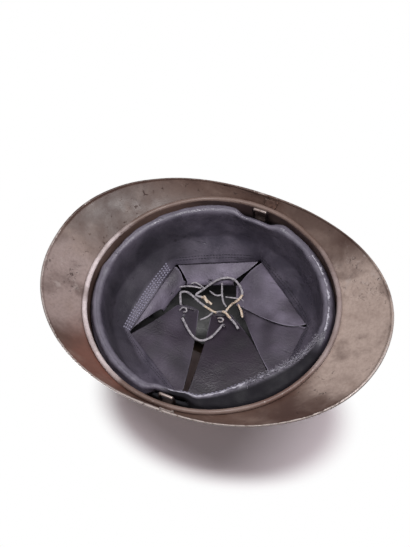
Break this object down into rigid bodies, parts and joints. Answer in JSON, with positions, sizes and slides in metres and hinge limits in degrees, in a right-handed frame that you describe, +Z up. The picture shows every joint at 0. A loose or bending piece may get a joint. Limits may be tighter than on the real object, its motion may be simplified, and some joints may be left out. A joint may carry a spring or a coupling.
{
  "type": "crested steel helmet",
  "caption": "Crested steel helmet with a separate visor and neck guard, a laced leather liner and two swinging bails for a chinstrap.",
  "frame": {"origin": "middle of the footprint, on the surface that the brim's edge rests on", "axes": "+Z up through the crown as worn, front towards -Y, wearer's left towards +X"},
  "size_m": [0.212, 0.2898, 0.1442],
  "materials": {
    "bowl_steel": "worn satin olive-grey paint",
    "brim_steel": "worn khaki-brown paint with rust and scratches",
    "clip_metal": "rusted paint",
    "wire": "dull bare metal",
    "aluminium_strip": "dull",
    "tab_metal": "dull",
    "felt": "matte",
    "band_leather": "worn, soft sheen",
    "tongue_leather": "worn, soft sheen",
    "lace_cord": "matte, frayed"
  },
  "bodies": {
    "helmet": {"bowl": "bowl_steel", "visor": "brim_steel", "neck_guard": "brim_steel", "crest": "bowl_steel", "crest_rivets": "bowl_steel", "bail_clip_left": "clip_metal", "bail_clip_right": "clip_metal", "bail_rivets": "wire", "spacer_rear_left": "aluminium_strip", "spacer_rear_right": "aluminium_strip", "spacer_front_right": "aluminium_strip", "spacer_front_left": "aluminium_strip", "tab_rear_left": "tab_metal", "tab_rear_right": "tab_metal", "tab_front_right": "tab_metal", "tab_front_left": "tab_metal", "felt_band": "felt", "headband": "band_leather", "tongue_rear_left": "tongue_leather", "tongue_rear": "tongue_leather", "tongue_rear_right": "tongue_leather", "tongue_front_right": "tongue_leather", "tongue_front": "tongue_leather", "tongue_front_left": "tongue_leather", "lace": "lace_cord"},
    "bail_left": {"bail_left": "wire"},
    "bail_right": {"bail_right": "wire"}
  },
  "joints": [
    {"name": "bail_left_swing", "type": "hinge", "parent": "helmet", "child": "bail_left", "pos_m": [0.09102, 0.001, 0.0262], "axis": [0, 1, 0], "range_deg": [-10, 30]},
    {"name": "bail_right_swing", "type": "hinge", "parent": "helmet", "child": "bail_right", "pos_m": [-0.09102, 0.001, 0.0262], "axis": [0, -1, 0], "range_deg": [-10, 30]}
  ]
}
